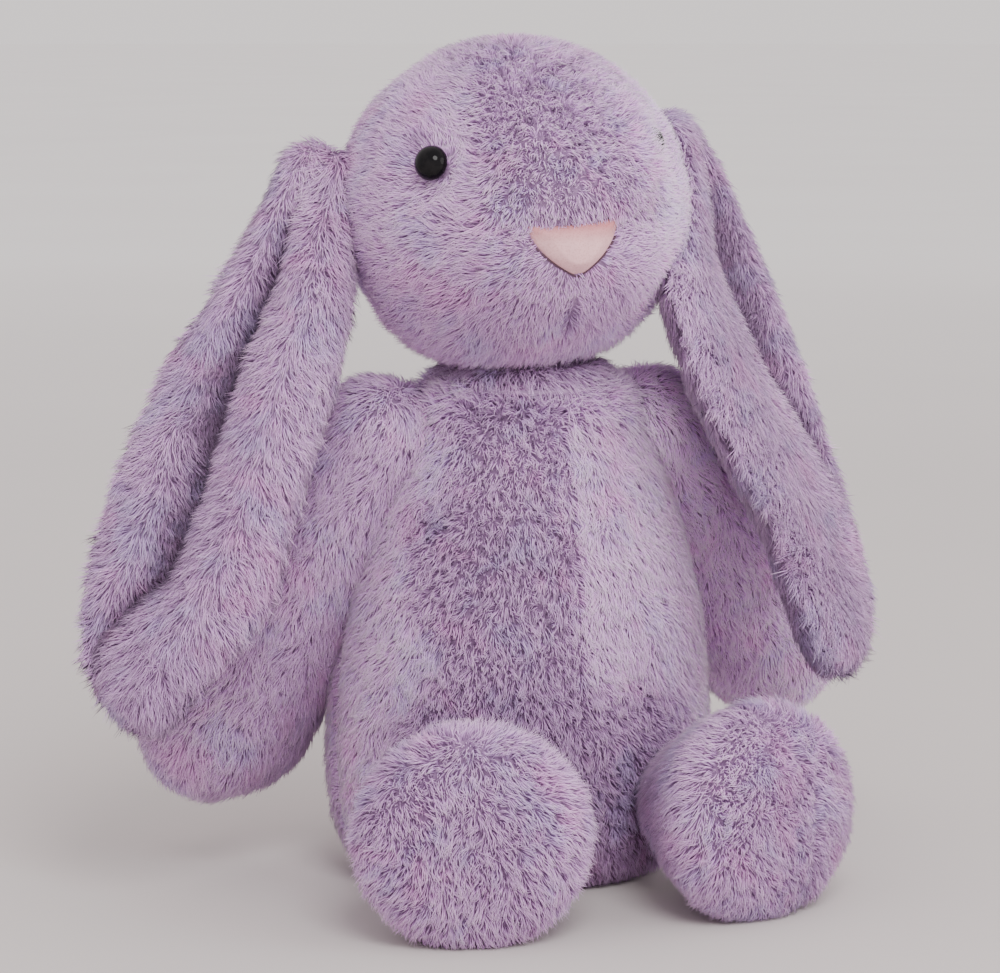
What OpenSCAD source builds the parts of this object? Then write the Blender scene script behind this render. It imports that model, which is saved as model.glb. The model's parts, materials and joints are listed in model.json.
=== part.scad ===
// Seated plush rabbit: sewn pile-fabric skins over separate fillings, with limp ears, arms, legs and head.
// The rabbit faces -Y, its own right side is -X, and it sits on the plane z = 0.
// Every surface here is the woven backing of the fabric; the pile stands on top of it.

/* [Head] */
// Width of the head across the cheeks
head_width = 146; // [134:2:156]
// Depth of the head without the snout
head_depth = 130; // [122:2:140]
// Height of the head from chin to crown
head_height = 136; // [128:2:142]
// How far the snout stands out in front of the round head
snout_length = 11; // [6:1:16]
// Lean of the resting head towards its right shoulder
head_lean = 5; // [0:1:6]
// Diameter of the glossy eyes
eye_diameter = 15; // [12:0.5:18]
// Width of the velour nose along its top edge
nose_width = 42; // [34:1:46]

/* [Ears] */
// Length of an ear from its sewn root to its tip
ear_length = 250; // [226:2:260]
// Width of an ear at its widest, laid along its gutter
ear_width = 76; // [64:2:84]
// Spread of the right ear away from upright hanging
ear_spread_right = 21; // [21:1:26]
// Spread of the left ear away from upright hanging
ear_spread_left = 14; // [13:1:20]

/* [Torso] */
// Height of the torso from the seat to the neck opening
torso_height = 218; // [212:1:222]
// Width of the torso across the hips
torso_width = 170; // [160:2:172]
// Depth of the torso at the hips
torso_depth = 130; // [120:2:136]

/* [Limbs] */
// Distance from the shoulder seam to the middle of the paw
arm_length = 147; // [136:1:152]
// Diameter of a paw
paw_diameter = 62; // [52:2:64]
// Spread of the right arm away from upright hanging
arm_spread_right = 23; // [23:1:27]
// Spread of the left arm away from upright hanging
arm_spread_left = 34; // [30:1:38]
// Distance from the hip seam to the front of the sole
leg_length = 62; // [56:1:68]
// Width of a foot
foot_width = 94; // [84:2:96]
// Height of a foot
foot_height = 89; // [80:1:90]

/* [Hidden] */

// Fabric and the gaps that keep the sewn pieces apart as solids.
cloth = 2;
fill_gap = 1.2;
filling = -cloth - fill_gap;
seam_gap = 0.8;

// Mesh steps.
panel_step = 15;
loft_step = 22.5;
pole = 4;

right = -1;
left = 1;
function for_side(side, at_right, at_left) = side == left ? at_left : at_right;

// ---------- Surfaces and the solids made from them ----------

function mix(a, b, t) = a + (b - a) * t;
function unit(v) = v / norm(v);
function steps(first, last, step) = [
    for (i = [0 : round(abs(last - first) / step)])
        mix(first, last, i / round(abs(last - first) / step))
];

// Points of a surface f(turn, station, grow): one row for each station.
function surface_grid(f, turns, stations, grow) = [
    for (s = stations) [for (t = turns) f(t, s, grow)]
];
function flat_list(rows) = [for (row = rows) each row];

// Two triangles for each cell of a grid that starts at point number start.
function cells(rows, cols, start, closed, flip) = [
    for (r = [0 : rows - 2], c = [0 : cols - (closed ? 1 : 2)])
        let (
            a = start + r * cols + c,
            b = start + r * cols + (c + 1) % cols,
            d = a + cols,
            e = b + cols
        )
        each (flip ? [[a, b, e], [a, e, d]] : [[a, e, b], [a, d, e]])
];

// Joins two lists of point numbers with a strip of triangles.
function strip(low, high, flip) = [
    for (i = [0 : len(low) - 2])
        each (flip
            ? [[low[i], high[i + 1], low[i + 1]], [low[i], high[i], high[i + 1]]]
            : [[low[i], low[i + 1], high[i + 1]], [low[i], high[i + 1], high[i]]])
];

// A piece of fabric: the outer surface over a range of turns, and the same surface one cloth further in.
module fabric(f, turns, stations, rise = 0, thickness = cloth) {
    outer = surface_grid(f, turns, stations, rise);
    inner = surface_grid(f, turns, stations, rise - thickness);
    rows = len(stations);
    cols = len(turns);
    n = rows * cols;
    first_row = [for (c = [0 : cols - 1]) c];
    last_row = [for (c = [0 : cols - 1]) (rows - 1) * cols + c];
    first_col = [for (r = [0 : rows - 1]) r * cols];
    last_col = [for (r = [0 : rows - 1]) r * cols + cols - 1];
    polyhedron(
        points = concat(flat_list(outer), flat_list(inner)),
        faces = concat(
            cells(rows, cols, 0, false, false),
            cells(rows, cols, n, false, true),
            strip(first_row, first_row + [for (i = first_row) n], false),
            strip(last_row, last_row + [for (i = last_row) n], true),
            strip(first_col, first_col + [for (i = first_col) n], true),
            strip(last_col, last_col + [for (i = last_col) n], false)
        ),
        convexity = 6
    );
}

// A closed body from rings of points, with a flat cap on the first and the last.
module ring_solid(rings) {
    rows = len(rings);
    cols = len(rings[0]);
    polyhedron(
        points = flat_list(rings),
        faces = concat(
            cells(rows, cols, 0, true, false),
            [[for (c = [0 : cols - 1]) c]],
            [[for (c = [cols - 1 : -1 : 0]) (rows - 1) * cols + c]]
        ),
        convexity = 4
    );
}

// A filling: rings of the surface f all the way round.
module loft(f, stations, grow, step = loft_step) {
    ring_solid(surface_grid(f, [0 : step : 360 - step], stations, grow));
}

// A round piece of fabric one cloth thick, like the sole on a foot or the side of the head.
module end_cap(f, stations, step = loft_step) {
    turns = [0 : step : 360 - step];
    last = len(stations) - 1;
    ring_solid(concat(
        surface_grid(f, turns, [for (i = [last : -1 : 0]) stations[i]], -cloth),
        surface_grid(f, turns, stations, 0)
    ));
}

// ---------- Torso ----------

// Share of the height, share of the width and depth there.
torso_outline = [
    [0, 0.66], [0.03, 0.84], [0.1, 0.95], [0.24, 1], [0.42, 0.98], [0.58, 0.915],
    [0.74, 0.8], [0.86, 0.69], [0.94, 0.6], [1, 0.48]
];
torso_stations = [for (row = torso_outline) row[0]];
hip_back = 8;
neck_back = 2;
side_seam_turn = 90;

// Turn 0 faces forward and 90 the rabbit's left; the station is the share of the height.
torso_point = function (turn, station, grow)
    let (
        across = lookup(station, torso_outline),
        a = across * torso_width / 2 + grow,
        b = across * torso_depth / 2 + grow
    )
    [
        a * sin(turn),
        mix(hip_back, neck_back, station) - b * cos(turn),
        mix(-grow, torso_height, station)
    ];

// Half the angle left open at a seam of the torso or a limb.
seam_angle = 0.4;

// A panel of the torso between two of its seams.
module torso_panel(first_seam, last_seam) {
    fabric(torso_point, steps(first_seam + seam_angle, last_seam - seam_angle, panel_step), torso_stations);
}

// The front panels meet in a seam down the middle of the belly.
module torso_front(side) {
    color("plum") torso_panel(for_side(side, -side_seam_turn, 0), for_side(side, 0, side_seam_turn));
}

module torso_back(side) {
    color("thistle")
    torso_panel(for_side(side, 180, side_seam_turn), for_side(side, 360 - side_seam_turn, 180));
}

// The flat seat panel lies inside the lowest ring of the torso.
module torso_seat() {
    a = torso_outline[0][1] * torso_width / 2 - cloth - seam_gap;
    b = torso_outline[0][1] * torso_depth / 2 - cloth - seam_gap;
    color("thistle")
    translate([0, hip_back, 0])
    linear_extrude(cloth)
    polygon([for (t = [0 : loft_step : 360 - loft_step]) [a * sin(t), -b * cos(t)]]);
}

// The pellet bag lies on the seat panel, and the fibre fills the torso from there to the neck.
pellet_stations = [0.026, 0.04, 0.09, 0.15, 0.2];
torso_fibre_stations = [0.21, 0.32, 0.42, 0.58, 0.74, 0.86, 0.9];

module pellet_bag() {
    color("tan") loft(torso_point, pellet_stations, filling - cloth / 2);
}

module torso_stuffing() {
    color("ghostwhite") loft(torso_point, torso_fibre_stations, filling);
}

tail_diameter = 36;
tail_height = 40;
tail_centre = [0, hip_back + torso_depth / 2 + tail_diameter / 2 + seam_gap, tail_height];

module tail_cover() {
    color("plum")
    translate(tail_centre)
    difference() {
        sphere(d = tail_diameter, $fn = 48);
        sphere(d = tail_diameter - 2 * cloth, $fn = 48);
    }
}

module tail_stuffing() {
    color("ghostwhite")
    translate(tail_centre)
    sphere(d = tail_diameter - 2 * cloth - 2 * fill_gap, $fn = 48);
}

// ---------- Neck ----------

neck_radius = 26;
neck_centre = [0, 0, torso_height + 7];

module neck_stuffing() {
    color("ghostwhite")
    translate(neck_centre)
    sphere(neck_radius, $fn = 48);
}

// The drawn-up thread round the neck opening of the torso.
module neck_closing_thread() {
    thread = 1.2;
    ring = torso_outline[len(torso_outline) - 1][1] * torso_width / 2;
    color("mediumpurple")
    translate([0, neck_back, torso_height + thread + seam_gap])
    rotate_extrude($fn = 48)
    translate([ring - cloth, 0])
    circle(thread, $fn = 16);
}

// ---------- Head ----------

head_centre = [0, -2, torso_height + 15 + head_height / 2];
snout_aim = unit([0, -1, -0.2]);
snout_spread = 34;
cheek_aim = unit([0.75, -0.45, -0.5]);
cheek_spread = 32;
cheek_rise = 3;

function bump(direction, aim, spread) =
    exp(-pow(acos(min(1, direction * aim)) / spread, 2));

// Turn runs over the head from the front (0) by the crown (90); the station is the angle
// out from the middle plane, towards the rabbit's right when positive.
head_radius = function (direction)
    1 / norm([
        direction.x / (head_width / 2),
        direction.y / (head_depth / 2),
        direction.z / (head_height / 2)
    ])
    + snout_length * bump(direction, snout_aim, snout_spread)
    + cheek_rise * bump([abs(direction.x), direction.y, direction.z], cheek_aim, cheek_spread);

head_direction = function (turn, station)
    [-sin(station), -cos(station) * cos(turn), cos(station) * sin(turn)];

// The upright head; on_head leans it on the neck.
head_point = function (turn, station, grow)
    head_centre + head_direction(turn, station) * (head_radius(head_direction(turn, station)) + grow);

module on_head() {
    translate(neck_centre) rotate([0, -head_lean, 0]) translate(-neck_centre) children();
}

function lean(point) =
    let (p = point - neck_centre)
    neck_centre + [
        p.x * cos(head_lean) - p.z * sin(head_lean),
        p.y,
        p.z * cos(head_lean) + p.x * sin(head_lean)
    ];

// The gusset narrows from the crown to the nose and to the neck; a lower fullness keeps it broad for longer.
gusset_half_angle = 23;
gusset_first_turn = -6;
gusset_last_turn = 216;
gusset_fullness = 0.35;
gusset_seam_angle = 0.7;

function gusset_edge(turn) =
    let (t = (turn - gusset_first_turn) / (gusset_last_turn - gusset_first_turn))
    t < 0 || t > 1 ? 0 : gusset_half_angle * pow(sin(180 * t), gusset_fullness);

// The same surface with the station given as a share of the way out from the gusset's edge.
side_point = function (turn, share, grow)
    let (edge = gusset_edge(turn < gusset_last_turn ? turn : turn - 360) + gusset_seam_angle)
    head_point(turn, mix(edge, 90 - pole / 2, share), grow);
gusset_point = function (turn, share, grow)
    head_point(turn, gusset_edge(turn) * share, grow);

module neck_opening() {
    translate(neck_centre)
    cylinder(h = head_height / 2, r = neck_radius + 2, center = true, $fn = 48);
}

eye_turn = 27;
eye_out = 44;
eye_direction = head_direction(eye_turn, eye_out);
function side_direction(side) = [-side * eye_direction.x, eye_direction.y, eye_direction.z];
function eye_seat(side, grow) =
    head_centre + side_direction(side) * (head_radius(side_direction(side)) + grow);

// Places children with +Z pointing out of the head at an eye.
module at_eye(side, grow = 0) {
    d = side_direction(side);
    translate(eye_seat(side, grow))
    rotate([0, acos(d.z), atan2(d.y, d.x)])
    children();
}

shank_radius = 1.5;
shank_hole_radius = 1.9;
shank_length = 12;
washer_radius = 6;
washer_thickness = 1.6;
washer_depth = 7;

module head_side(side) {
    color("thistle")
    on_head()
    difference() {
        mirror([side > 0 ? 1 : 0, 0, 0])
        end_cap(side_point, [0, 0.14, 0.3, 0.46, 0.62, 0.78, 0.9, 1], panel_step);
        neck_opening();
        at_eye(side, -cloth * 3) cylinder(h = cloth * 6, r = shank_hole_radius, $fn = 24);
    }
}

module head_gusset() {
    turns = [for (t = [0 : panel_step : gusset_last_turn - 1]) t];
    color("plum")
    on_head()
    fabric(gusset_point, turns, [-1, -0.5, 0, 0.5, 1]);
}

module head_stuffing() {
    color("ghostwhite")
    on_head()
    difference() {
        loft(
            function (turn, station, grow) head_point(turn, station, grow),
            [-88, -76, -60, -42, -22, 0, 22, 42, 60, 76, 88],
            filling,
            18
        );
        translate(neck_centre) sphere(neck_radius + seam_gap, $fn = 48);
        for (side = [right, left]) {
            at_eye(side, -shank_length - 1) cylinder(h = shank_length + 2, r = shank_hole_radius, $fn = 24);
            at_eye(side, -washer_depth - washer_thickness - fill_gap)
                cylinder(h = washer_thickness + 2 * fill_gap, r = washer_radius + fill_gap, $fn = 32);
        }
    }
}

// A domed safety eye: the flat of the dome stands on the fabric and its shank goes through it.
module eye(side) {
    dome_height = eye_diameter * 0.4;
    dome_radius = (pow(eye_diameter / 2, 2) + pow(dome_height, 2)) / (2 * dome_height);
    color("black")
    on_head()
    at_eye(side, seam_gap) {
        intersection() {
            translate([0, 0, dome_height - dome_radius]) sphere(dome_radius, $fn = 64);
            cylinder(h = dome_height, d = eye_diameter, $fn = 64);
        }
        translate([0, 0, -shank_length]) cylinder(h = shank_length + 1, r = shank_radius, $fn = 24);
    }
}

module eye_washer(side) {
    color("dimgray")
    on_head()
    at_eye(side, -washer_depth - washer_thickness)
    difference() {
        cylinder(h = washer_thickness, r = washer_radius, $fn = 32);
        translate([0, 0, -washer_thickness / 2])
        cylinder(h = 2 * washer_thickness, r = (shank_radius + shank_hole_radius) / 2, $fn = 24);
    }
}

// The nose is a triangle with slightly bulging sides on the end of the snout, its tip down.
nose_top_turn = -4;
nose_bottom_turn = -22;
nose_bulge = 0.85;
nose_cloth = 1.2;
nose_point = function (share, station, grow)
    let (
        width = nose_width / 2 * pow(1 - station, nose_bulge),
        turn = mix(nose_top_turn, nose_bottom_turn, station)
    )
    head_point(turn, asin(width * share / (head_depth / 2 + snout_length)), grow);

module nose_patch() {
    color("pink")
    on_head()
    fabric(
        nose_point,
        [-1, -0.6, -0.2, 0.2, 0.6, 1],
        [0, 0.25, 0.5, 0.75, 0.95],
        nose_cloth + seam_gap,
        nose_cloth
    );
}

// The sewn line that runs from the tip of the nose towards the chin.
module mouth_stitch() {
    thread = 0.7;
    thread_angle = thread / head_depth * 360 / PI;
    turns = steps(nose_bottom_turn - 24, nose_bottom_turn - 2, 4);
    color("mediumpurple")
    on_head()
    ring_solid([
        for (turn = turns) [
            for (t = [0 : 60 : 300])
                head_point(turn, thread_angle * cos(t), thread * (1 + sin(t)) + seam_gap / 2)
        ]
    ]);
}

// ---------- Ears ----------

ear_root_radius = 11;
ear_root_turn = 125;
ear_root_out = 73;
ear_half_thickness = 5;
ear_gutter = 15;

// Share of the length, share of the width, share of the thickness there.
ear_outline = [
    [0, 0.28, 1], [0.08, 0.34, 1], [0.2, 0.56, 1], [0.36, 0.84, 1], [0.52, 0.98, 1],
    [0.68, 1, 1], [0.82, 0.95, 1], [0.91, 0.8, 1], [0.965, 0.55, 0.9], [1, 0.12, 0.7]
];
ear_widths = [for (row = ear_outline) [row[0], row[1]]];
ear_thicknesses = [for (row = ear_outline) [row[0], row[2]]];
ear_round_end = [pole, 35, 65];

function ear_root(side) =
    let (d = head_direction(ear_root_turn, ear_root_out), seat = [side * -d.x, d.y, d.z])
    lean(head_centre + seat * (head_radius(seat) + ear_root_radius + 2 * seam_gap));

// Forward lean of the hanging ear, and how far its gutter turns outwards from facing ahead.
ear_forward_right = 8;
ear_forward_left = 14;
ear_opening_right = 30;
ear_opening_left = 42;

// Down the ear, across it towards the body, and the way that its gutter opens.
function ear_down(side) =
    let (
        spread = for_side(side, ear_spread_right, ear_spread_left),
        forward = for_side(side, ear_forward_right, ear_forward_left)
    )
    unit([side * tan(spread), -tan(forward), -1]);
function ear_open(side) =
    let (
        opening = for_side(side, ear_opening_right, ear_opening_left),
        facing = [side * sin(opening), -cos(opening), 0],
        down = ear_down(side)
    )
    unit(facing - down * (facing * down));
function ear_across(side) = cross(ear_open(side), ear_down(side));

// Stations below zero round off the root: they are angles, and 0 to 1 is the share of the length.
// The round root turns into the flat ear over the first part of its length.
ear_flat_from = 0.3;
ear_point = function (side, turn, station, grow)
    station < 0
        ? let (r = ear_root_radius + grow, up = r * cos(-station), out = r * sin(-station))
          ear_root(side)
          - ear_down(side) * up
          + ear_across(side) * out * cos(turn)
          + ear_open(side) * out * sin(turn)
        : let (
              blend = min(1, station / ear_flat_from),
              share = lookup(station, ear_widths),
              across = (share * ear_width / 2 + grow) * cos(turn),
              flat = ear_half_thickness * lookup(station, ear_thicknesses) + grow,
              thick = mix(ear_root_radius + grow, flat, blend),
              bend = ear_gutter * blend * pow(across / (ear_width / 2), 2) / share,
              along = station * (ear_length + grow)
          )
          ear_root(side)
          + ear_down(side) * along
          + ear_across(side) * across
          + ear_open(side) * (bend + thick * sin(turn));

ear_stations = concat([for (a = ear_round_end) -a], [for (row = ear_outline) row[0]]);
ear_seam_angle = 1.5;

module ear_fabric(side, first_turn) {
    fabric(
        function (turn, station, grow) ear_point(side, turn, station, grow),
        steps(first_turn + ear_seam_angle, first_turn + 180 - ear_seam_angle, panel_step),
        ear_stations
    );
}

// The lining faces into the gutter and the back faces the body.
module ear_lining(side) {
    color("thistle") ear_fabric(side, 0);
}

module ear_back(side) {
    color("plum") ear_fabric(side, 180);
}

module ear_wadding(side) {
    color("ghostwhite")
    loft(
        function (turn, station, grow) ear_point(side, turn, station, grow),
        ear_stations,
        filling
    );
}

// ---------- Arms and legs ----------

// A limb is round about its line: a round root, a flare to the end, and a rounded end.
// Stations from -90 to 0 round the root, 0 to 1 run along the line and 1 to 91 round the end.
flare_fullness = 0.75;
limb_point = function (root, along, across, length, root_radius, end_radii, end_depth, turn, station, grow)
    let (
        facing = cross(along, across),
        flare = station < 0 ? 0 : min(1, station),
        end_angle = station > 1 ? station - 1 : 0,
        root_angle = station < 0 ? -station : 0,
        radii = [
            for (r = end_radii)
                (mix(root_radius, r, pow(flare, flare_fullness)) + grow) * cos(end_angle) * cos(root_angle)
        ],
        reach = length * flare
            + (end_depth + grow) * sin(end_angle)
            - (root_radius + grow) * sin(root_angle)
    )
    root + along * reach + across * radii[0] * cos(turn) + facing * radii[1] * sin(turn);

limb_step = 25;
limb_seam_angle = 0.8;
limb_stations = [-90 + pole, -55, -25, 0, 0.2, 0.4, 0.6, 0.8, 1, 26, 51, 72, 91 - pole];

shoulder_height = 195;
shoulder_back = 6;
shoulder_out_right = 76;
shoulder_out_left = 72;
shoulder_root_radius = 14;

// Swing of the resting arm behind upright hanging.
arm_back_swing_right = 18;
arm_back_swing_left = 26;

function shoulder(side) =
    [side * for_side(side, shoulder_out_right, shoulder_out_left), shoulder_back, shoulder_height];
function arm_along(side) =
    let (
        spread = for_side(side, arm_spread_right, arm_spread_left),
        back_swing = for_side(side, arm_back_swing_right, arm_back_swing_left)
    )
    unit([side * tan(spread), tan(back_swing), -1]);
function arm_across(side) = unit(cross(arm_along(side), [0, -1, 0]));

function arm_surface(side) =
    function (turn, station, grow)
        limb_point(
            shoulder(side), arm_along(side), arm_across(side), arm_length,
            shoulder_root_radius, [paw_diameter / 2, paw_diameter / 2], paw_diameter / 2,
            turn, station, grow
        );

module limb_fabric(surface, first_turn, stations) {
    fabric(
        surface,
        steps(first_turn + limb_seam_angle, first_turn + 180 - limb_seam_angle, limb_step),
        stations
    );
}

module arm_front(side) {
    color("plum") limb_fabric(arm_surface(side), 180, limb_stations);
}

module arm_back(side) {
    color("thistle") limb_fabric(arm_surface(side), 0, limb_stations);
}

module arm_stuffing(side) {
    color("ghostwhite") loft(arm_surface(side), limb_stations, filling);
}

hip_height = 42;
hip_out = 52;
hip_forward = 62;
hip_root_radius = 16;

// How far each foot turns outwards, and how far both lean up.
foot_splay_right = 13;
foot_splay_left = 20;
foot_lean = 3;

function hip(side) = [side * hip_out, -hip_forward, hip_height];
function leg_along(side) =
    unit([side * tan(for_side(side, foot_splay_right, foot_splay_left)), -1, tan(foot_lean)]);
function leg_across(side) = unit(cross(leg_along(side), [0, 0, -1]));

// The foot is a squat round end, so its rounding is shallower than its radius.
sole_rounding = 14;
function leg_surface(side) =
    function (turn, station, grow)
        limb_point(
            hip(side), leg_along(side), leg_across(side), leg_length - sole_rounding,
            hip_root_radius, [foot_width / 2, foot_height / 2], sole_rounding,
            turn, station, grow
        );

leg_stations = [-90 + pole, -55, -25, 0, 0.2, 0.45, 0.7, 1, 24, 45];
sole_stations = [48, 66, 81, 91 - pole];

module leg_top(side) {
    color("plum") limb_fabric(leg_surface(side), 0, leg_stations);
}

module leg_bottom(side) {
    color("thistle") limb_fabric(leg_surface(side), 180, leg_stations);
}

module sole(side) {
    color("plum") end_cap(leg_surface(side), sole_stations);
}

module leg_stuffing(side) {
    color("ghostwhite") loft(leg_surface(side), concat(leg_stations, sole_stations), filling);
}

// ---------- The nodes ----------

torso_front(right);  // torso_front_right
torso_front(left);  // torso_front_left
torso_back(right);  // torso_back_right
torso_back(left);  // torso_back_left
torso_seat();
torso_stuffing();
pellet_bag();
tail_cover();
tail_stuffing();
neck_stuffing();
neck_closing_thread();
head_side(right);  // head_side_right
head_side(left);  // head_side_left
head_gusset();
head_stuffing();
nose_patch();
mouth_stitch();
eye(right);  // eye_right
eye(left);  // eye_left
eye_washer(right);  // eye_washer_right
eye_washer(left);  // eye_washer_left
ear_back(right);  // ear_back_right
ear_lining(right);  // ear_lining_right
ear_wadding(right);  // ear_wadding_right
ear_back(left);  // ear_back_left
ear_lining(left);  // ear_lining_left
ear_wadding(left);  // ear_wadding_left
arm_front(right);  // arm_front_right
arm_back(right);  // arm_back_right
arm_stuffing(right);  // arm_stuffing_right
arm_front(left);  // arm_front_left
arm_back(left);  // arm_back_left
arm_stuffing(left);  // arm_stuffing_left
leg_top(right);  // leg_top_right
leg_bottom(right);  // leg_bottom_right
sole(right);  // sole_right
leg_stuffing(right);  // leg_stuffing_right
leg_top(left);  // leg_top_left
leg_bottom(left);  // leg_bottom_left
sole(left);  // sole_left
leg_stuffing(left);  // leg_stuffing_left
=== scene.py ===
"""Seated plush rabbit: soft skins, pile, eyes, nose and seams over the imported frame."""

import json
import math

import bmesh
import bpy
import numpy as np
from mathutils import Matrix, Vector
from mathutils.bvhtree import BVHTree


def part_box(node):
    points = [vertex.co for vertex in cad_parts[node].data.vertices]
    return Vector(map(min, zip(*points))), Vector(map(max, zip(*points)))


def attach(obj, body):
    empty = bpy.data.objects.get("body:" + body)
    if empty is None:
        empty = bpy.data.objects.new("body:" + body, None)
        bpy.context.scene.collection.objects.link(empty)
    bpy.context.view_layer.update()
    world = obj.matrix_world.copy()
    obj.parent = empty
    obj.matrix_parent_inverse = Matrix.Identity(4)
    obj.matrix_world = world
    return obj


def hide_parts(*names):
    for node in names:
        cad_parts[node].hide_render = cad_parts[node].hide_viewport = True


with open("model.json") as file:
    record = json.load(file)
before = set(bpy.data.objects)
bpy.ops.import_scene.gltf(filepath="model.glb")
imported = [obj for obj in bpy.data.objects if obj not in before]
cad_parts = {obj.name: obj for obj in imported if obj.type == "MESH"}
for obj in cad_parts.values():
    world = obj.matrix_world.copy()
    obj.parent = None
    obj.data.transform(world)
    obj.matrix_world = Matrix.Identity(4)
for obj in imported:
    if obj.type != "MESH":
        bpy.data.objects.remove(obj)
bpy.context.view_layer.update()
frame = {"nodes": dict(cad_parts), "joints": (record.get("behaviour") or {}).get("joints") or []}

MM = 0.001
JOINTS = {joint["name"]: joint for joint in frame["joints"]}
NECK = np.array(JOINTS["neck_turn"]["pos_m"])
SIDES = {"right": -1, "left": 1}

# The pile: strands for each square millimetre, their length, and their radii at the root and the bend.
PILE_DENSITY = 1.32
PILE_LENGTH = 9.4 * MM
ROOT_RADIUS = 0.27 * MM
BEND_RADIUS = 0.21 * MM
STRANDS_A_PIECE = 19000
# Neighbouring tips lean together in wide tufts and in fine ones.
TUFT_SIZE = 7 * MM
FINE_TUFT_SIZE = 3.2 * MM
# The share by which a strand's sides are shaded as round, not like the skin under it.
SIDE_SHADING = 0.4

# The skins: for how many frames the cloth is blown up, and how far a seam's groove and its parting reach.
CLOTH_FRAMES = 20
SEAM_WIDTH = 9 * MM
SEAM_PARTING = 8 * MM

# Seen from the shoulder joint: the balls that round the arm off, and how far the paws lean inwards.
SHOULDER_RADIUS = 24 * MM
PAW_RADIUS = 32 * MM
PAW_REACH = 149 * MM
PAW_INWARDS = {"right": 22 * MM, "left": 4 * MM}

EYE_RADIUS = 7.5 * MM
# How deep each eye sits in the pile.
EYE_SUNK = {"right": 1.2 * MM, "left": 5.2 * MM}
NOSE_PUFF = 5.5 * MM
NOSE_SEAM_RADIUS = 0.45 * MM

FLOOR_CLEARANCE = 0.3 * MM
FLOOR_RADIUS = 40.0
DOWN = np.array([0.0, 0.0, -1.0])

# Colours of the pile, in linear light. The dark root colour is painted shade deep in the pile.
SHADED_ROOT_COLOUR = np.array([0.27, 0.16, 0.30])
MIDDLE_COLOUR = np.array([0.645, 0.368, 0.72])
TIP_COLOUR = np.array([0.885, 0.645, 0.975])
GREY_TINT = np.array([0.90, 1.03, 1.02])
PINK_TINT = np.array([1.06, 0.92, 0.97])


# ---------- Small helpers ----------


def unit(vectors):
    """Vectors of length one, for an array of vectors or a single one."""
    lengths = np.linalg.norm(vectors, axis=-1, keepdims=True)
    return vectors / np.maximum(lengths, 1e-9)


def smooth(value, low, high):
    """0 below low, 1 above high, and an S curve between them."""
    t = np.clip((value - low) / (high - low), 0, 1)
    return t * t * (3 - 2 * t)


def waves(points, size, seed, count=9):
    """A smooth random field, mostly from -1 to 1, that changes over about the given size."""
    rng = np.random.default_rng(seed)
    directions = unit(rng.normal(size=(count, 3)))
    pitch = 2 * math.pi / size * rng.uniform(0.6, 1.5, count)
    phase = rng.uniform(0, 2 * math.pi, count)
    return np.sin(points @ (directions * pitch[:, None]).T + phase).sum(axis=1) / math.sqrt(count)


def wave_vectors(points, size, seed):
    """Three such fields as one vector field."""
    return np.stack([waves(points, size, seed + k) for k in range(3)], axis=1)


def cad_points(*nodes):
    """All the corners of these CAD nodes."""
    parts = []
    for node in nodes:
        mesh = frame["nodes"][node].data
        points = np.empty(len(mesh.vertices) * 3)
        mesh.vertices.foreach_get("co", points)
        parts.append(points.reshape(-1, 3))
    return np.concatenate(parts)


def new_object(name, mesh):
    obj = bpy.data.objects.new(name, mesh)
    bpy.context.scene.collection.objects.link(obj)
    return obj


def finished_mesh(name, bm):
    """The mesh that a bmesh holds."""
    mesh = bpy.data.meshes.new(name)
    bm.to_mesh(mesh)
    bm.free()
    return mesh


def round_shading(bm):
    """Turns all faces outwards and shades them smooth."""
    bmesh.ops.recalc_face_normals(bm, faces=bm.faces)
    for face in bm.faces:
        face.smooth = True


def apply_modifiers(obj):
    """Replaces the mesh with the one that its modifiers make."""
    graph = bpy.context.evaluated_depsgraph_get()
    mesh = bpy.data.meshes.new_from_object(obj.evaluated_get(graph))
    obj.modifiers.clear()
    old = obj.data
    obj.data = mesh
    bpy.data.meshes.remove(old)


def mesh_arrays(obj):
    """Corner points, vertex normals and triangles of a mesh."""
    mesh = obj.data
    points = np.empty(len(mesh.vertices) * 3)
    mesh.vertices.foreach_get("co", points)
    normals = np.empty(len(mesh.vertices) * 3)
    mesh.vertices.foreach_get("normal", normals)
    mesh.calc_loop_triangles()
    triangles = np.empty(len(mesh.loop_triangles) * 3, dtype=np.int64)
    mesh.loop_triangles.foreach_get("vertices", triangles)
    return points.reshape(-1, 3), normals.reshape(-1, 3), triangles.reshape(-1, 3)


def set_points(obj, points):
    """Moves the corner points of a mesh."""
    obj.data.vertices.foreach_set("co", points.reshape(-1))
    obj.data.update()


# ---------- Materials ----------


def principled(name, **values):
    """A material with its shader's sockets set, and its node tree for more nodes."""
    material = bpy.data.materials.new(name)
    material.use_nodes = True
    shader = material.node_tree.nodes["Principled BSDF"]
    for socket, value in values.items():
        shader.inputs[socket.replace("_", " ")].default_value = value
    return material, material.node_tree, shader


def add_node(tree, kind, **inputs):
    node = tree.nodes.new(kind)
    for name, value in inputs.items():
        node.inputs[name.replace("_", " ")].default_value = value
    return node


def colour_ramp(tree, stops):
    ramp = tree.nodes.new("ShaderNodeValToRGB")
    elements = ramp.color_ramp.elements
    while len(elements) < len(stops):
        elements.new(0.5)
    for element, (place, colour) in zip(elements, stops):
        element.position = place
        element.color = (*colour, 1)
    return ramp


def multiplied(tree, first, second):
    """The product of two colour sockets."""
    mix = tree.nodes.new("ShaderNodeMix")
    mix.data_type = "RGBA"
    mix.blend_type = "MULTIPLY"
    mix.inputs["Factor"].default_value = 1.0
    tree.links.new(first, mix.inputs["A"])
    tree.links.new(second, mix.inputs["B"])
    return mix.outputs["Result"]


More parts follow.
